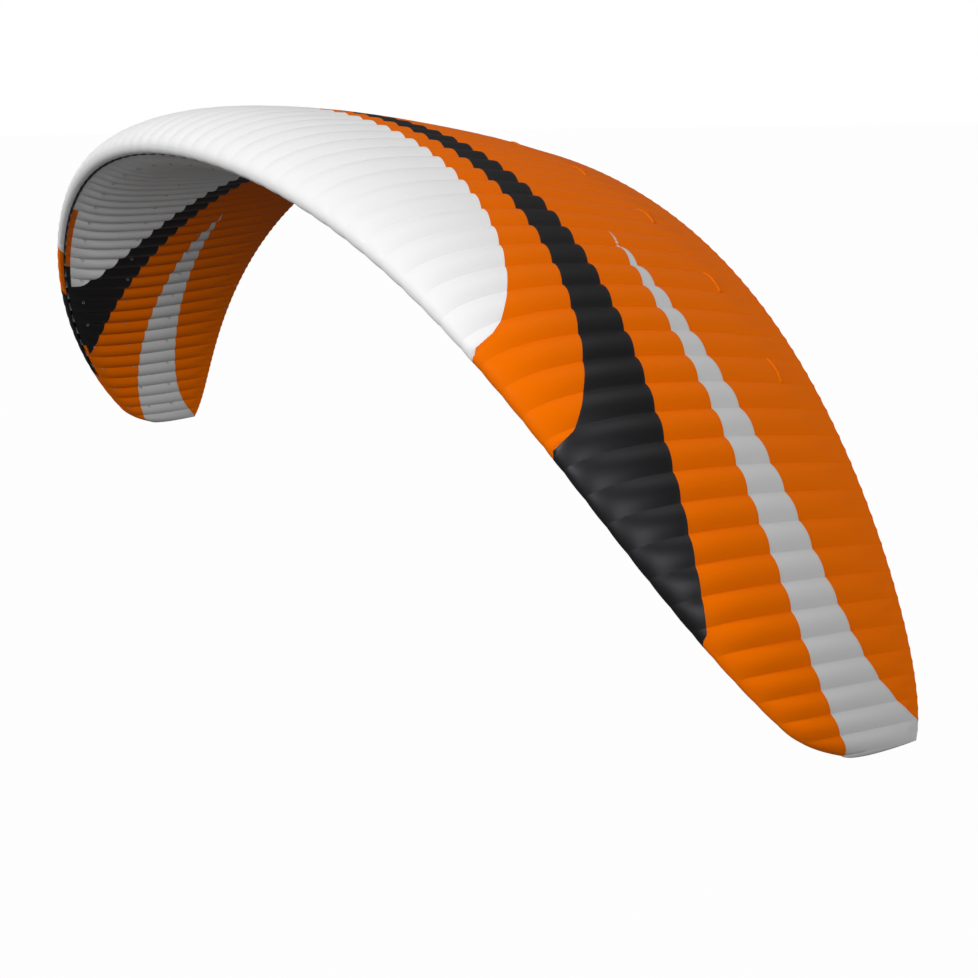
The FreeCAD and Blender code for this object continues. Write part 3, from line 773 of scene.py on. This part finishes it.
for name, side in SIDES:
    for number in (1, 2, 3):
        first, last = FLAP_RIBS[number - 1 : number + 1]
        points, faces, stations = [], [], []
        for half in range(2 * first + 2, 2 * last - 1):
            k = side * half / 2
            c = chord(span_share(abs(k)))
            shares = np.linspace(HINGE + MINI_GAP, 1 - 2 * HEM / c, MINI_ROWS)
            w = np.sqrt(shares)
            lean = slope(span_share(abs(k)))
            across = np.array([side * math.cos(lean), 0, -math.sin(lean)]) * MINI_THICK
            top, bottom = wing(k, w, -MINI_DEPTH), wing(k, -w, -MINI_DEPTH)
            start = sum(len(p) for p in points)
            points.append(np.concatenate([top - across, bottom - across, top + across, bottom + across]))
            n = len(w)
            stations.append(np.stack([np.full(4 * n, k), np.tile(w, 4)], -1))
            for i in range(n - 1):
                a, b, e, f = four_corners(start, n, i)
                plates = [(a, a + 1, b + 1, b), (e, f, f + 1, e + 1)]
                plates += [(a, e, e + 1, a + 1), (b, b + 1, f + 1, f)]
                faces += plates if side < 0 else [p[::-1] for p in plates]
            for i, turn in ((0, 1), (n - 1, -1)):
                a, b, e, f = four_corners(start, n, i)
                plate = (a, b, f, e)[::turn]
                faces.append(plate if side < 0 else plate[::-1])
        piece = f"mini_ribs_{name}_{number}_cloth"
        made = make_mesh(piece, np.concatenate(points), faces, MINI)
        made.data.shade_flat()
        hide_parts(f"mini_ribs_{name}_{number}")
        bend(made, name, number, np.concatenate(stations))

        points, faces, stations = [], [], []
        for k in range(first + 1, last):
            if k % 2:
                continue
            s = span_share(k)
            share = 1 - HEM / chord(s) - 0.01
            lean = slope(s)
            axis = np.array([side * math.cos(lean), 0, -math.sin(lean)])
            centre = wing(side * k, -math.sqrt(share), BRAKE_LOOP_DROP)
            ring, quads = ring_mesh(centre, axis, BRAKE_LOOP_RADIUS, BRAKE_LOOP_CORD)
            start = sum(len(p) for p in points)
            points.append(np.array(ring))
            faces += [tuple(start + i for i in q) for q in quads]
            stations.append(np.tile([[side * k, math.sqrt(share)]], (len(ring), 1)))
        piece = f"brake_loops_{name}_{number}_cord"
        made = make_mesh(piece, np.concatenate(points), faces, CORD)
        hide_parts(f"brake_loops_{name}_{number}")
        bend(made, name, number, np.concatenate(stations))

# ---------------------------------------------------------------- pieces kept from the CAD model
KEPT = {
    "loaded_ribs": RIB_CLOTH,
    "unloaded_ribs": RIB_CLOTH,
    "diagonal_ribs": RIB_CLOTH,
    "tension_straps": TAPE,
    "nose_rods": ROD,
    "line_loops_a_row": CORD,
    "line_loops_b_row": CORD,
    "line_loops_c_row": CORD,
}
for name, look in KEPT.items():
    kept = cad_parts[name]
    kept.data.materials.clear()
    kept.data.materials.append(look)

# ---------------------------------------------------------------- light, floor
WORLD_LIGHT, WORLD_GLOSS_LOSS = 0.34, 0.22
FLOOR_REACH, FLOOR_DROP = 400, 8


def seen_and_lit(tree, seen, lit, output):
    """One shader where the camera sees it directly, and another for the light that it sends to the kite."""
    path = tree.nodes.new("ShaderNodeLightPath")
    mix = tree.nodes.new("ShaderNodeMixShader")
    tree.links.new(path.outputs["Is Camera Ray"], mix.inputs["Fac"])
    tree.links.new(lit.outputs[0], mix.inputs[1])
    tree.links.new(seen.outputs[0], mix.inputs[2])
    tree.links.new(mix.outputs[0], output.inputs["Surface"])


world = bpy.data.worlds.new("world")
world.use_nodes = True
tree = world.node_tree
open_air = tree.nodes["Background"]
open_air.inputs["Color"].default_value = (1, 1, 1, 1)
path = tree.nodes.new("ShaderNodeLightPath")
loss = maths(tree, "MULTIPLY", path.outputs["Is Glossy Ray"], WORLD_GLOSS_LOSS)
dimmed = maths(tree, "SUBTRACT", WORLD_LIGHT, loss)
tree.links.new(dimmed, open_air.inputs["Strength"])
seen = add(tree, "ShaderNodeBackground", Color=(1, 1, 1, 1), Strength=1.0)
seen_and_lit(tree, seen, open_air, tree.nodes["World Output"])
bpy.context.scene.world = world
bpy.context.scene.view_settings.view_transform = "Standard"


def lamp(name, from_direction, strength, softness):
    data = bpy.data.lights.new(name, "SUN")
    data.energy = strength
    data.angle = math.radians(softness)
    made = bpy.data.objects.new(name, data)
    made.rotation_euler = Vector(from_direction).to_track_quat("Z", "Y").to_euler()
    bpy.context.scene.collection.objects.link(made)


lamp("key", (-0.2, -0.85, 0.45), 1.9, 20)
lamp("fill", (0.9, -0.45, 0.25), 1.2, 25)
lamp("front", (-0.1, -1, -0.16), 1.5, 15)
lamp("overhead", (0, 0.1, 1), 0.5, 40)

level = cad_bounds[0][2] - FLOOR_DROP
corners = [(FLOOR_REACH * x, FLOOR_REACH * y, level) for x, y in ((-1, -1), (1, -1), (1, 1), (-1, 1))]
floor_data = bpy.data.meshes.new("floor")
floor_data.from_pydata(corners, [], [(0, 1, 2, 3)])
floor = bpy.data.objects.new("floor", floor_data)
floor_look, floor_shader = material("floor", (0.09, 0.09, 0.09), 0.9)
tree = floor_look.node_tree
pale = add(tree, "ShaderNodeEmission", Color=(0.985, 0.985, 0.985, 1), Strength=1.0)
seen_and_lit(tree, pale, floor_shader, tree.nodes["Material Output"])
floor_data.materials.append(floor_look)
bpy.context.scene.collection.objects.link(floor)
